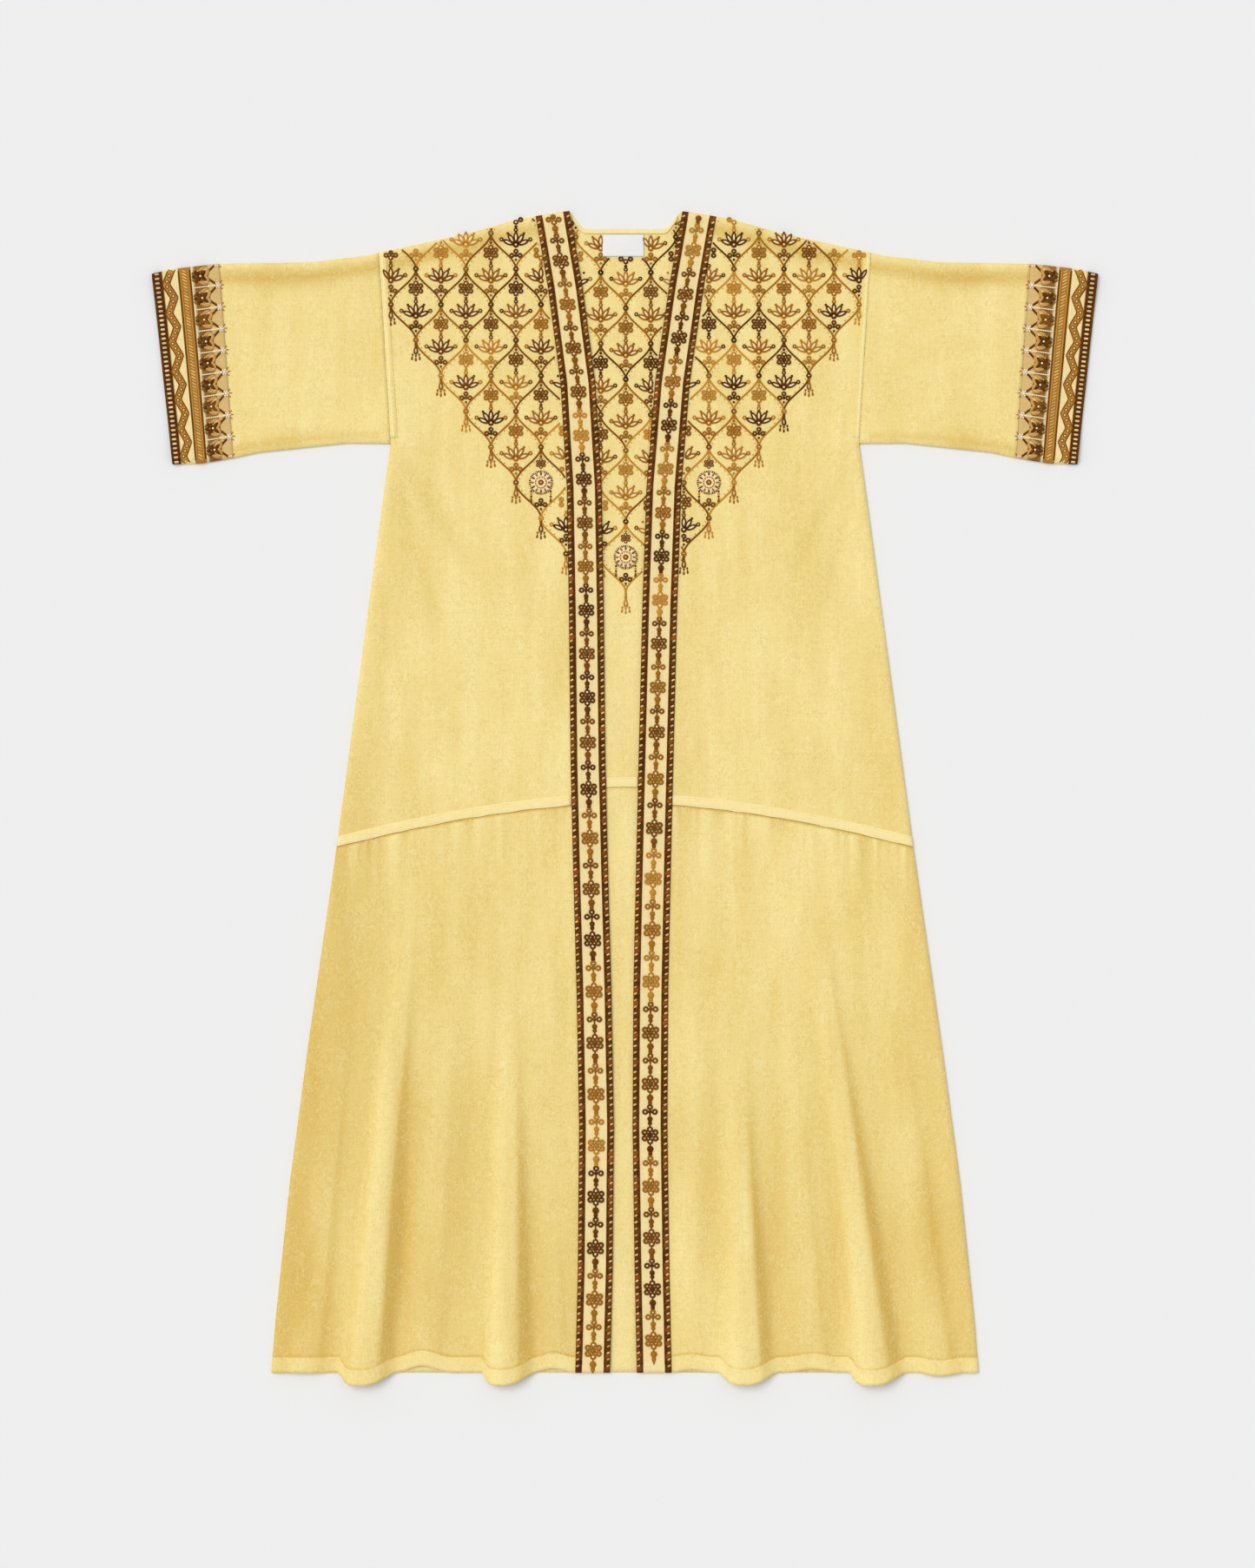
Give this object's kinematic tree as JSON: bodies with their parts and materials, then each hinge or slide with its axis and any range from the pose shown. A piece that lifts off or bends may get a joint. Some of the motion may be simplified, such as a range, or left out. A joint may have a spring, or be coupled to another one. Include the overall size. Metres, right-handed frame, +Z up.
{
  "type": "open-front abaya laid flat",
  "caption": "Open-front long robe of crinkled yellow cotton laid flat, with half sleeves, ornamented yoke, front bands and cuffs, and a fluted skirt.",
  "frame": {"origin": "centre of the garment's bounding box, on the surface that it lies on", "axes": "+Y up the garment, from hem to neck; +Z up from the surface, out of the garment's front; +X towards the wearer's left"},
  "size_m": [1.1158, 1.3838, 0.0186],
  "materials": {
    "cotton": "butter-yellow crinkled cotton gauze, matt, with fine uneven crease lines",
    "tape": "paler yellow cotton tape, felled and stitched along both edges",
    "embroidery": "cream cotton worked in dark brown, caramel and gold thread with small beads",
    "label": "blank white woven satin",
    "medallion": "padded round applique in caramel, gold and dark brown thread"
  },
  "bodies": {
    "root": {"back_bodice": "cotton", "back_skirt": "cotton", "front_bodice_left": "cotton", "front_bodice_right": "cotton", "front_skirt_left": "cotton", "front_skirt_right": "cotton", "sleeve_left": "cotton", "sleeve_right": "cotton", "armhole_tape_left": "tape", "armhole_tape_right": "tape", "hip_tape_back": "tape", "hip_tape_left": "tape", "hip_tape_right": "tape", "neck_binding": "tape", "cuff_left": "embroidery", "cuff_right": "embroidery", "front_band_left": "embroidery", "front_band_right": "embroidery", "neck_label": "label", "medallion_back": "medallion", "medallion_left": "medallion", "medallion_right": "medallion"}
  },
  "joints": []
}
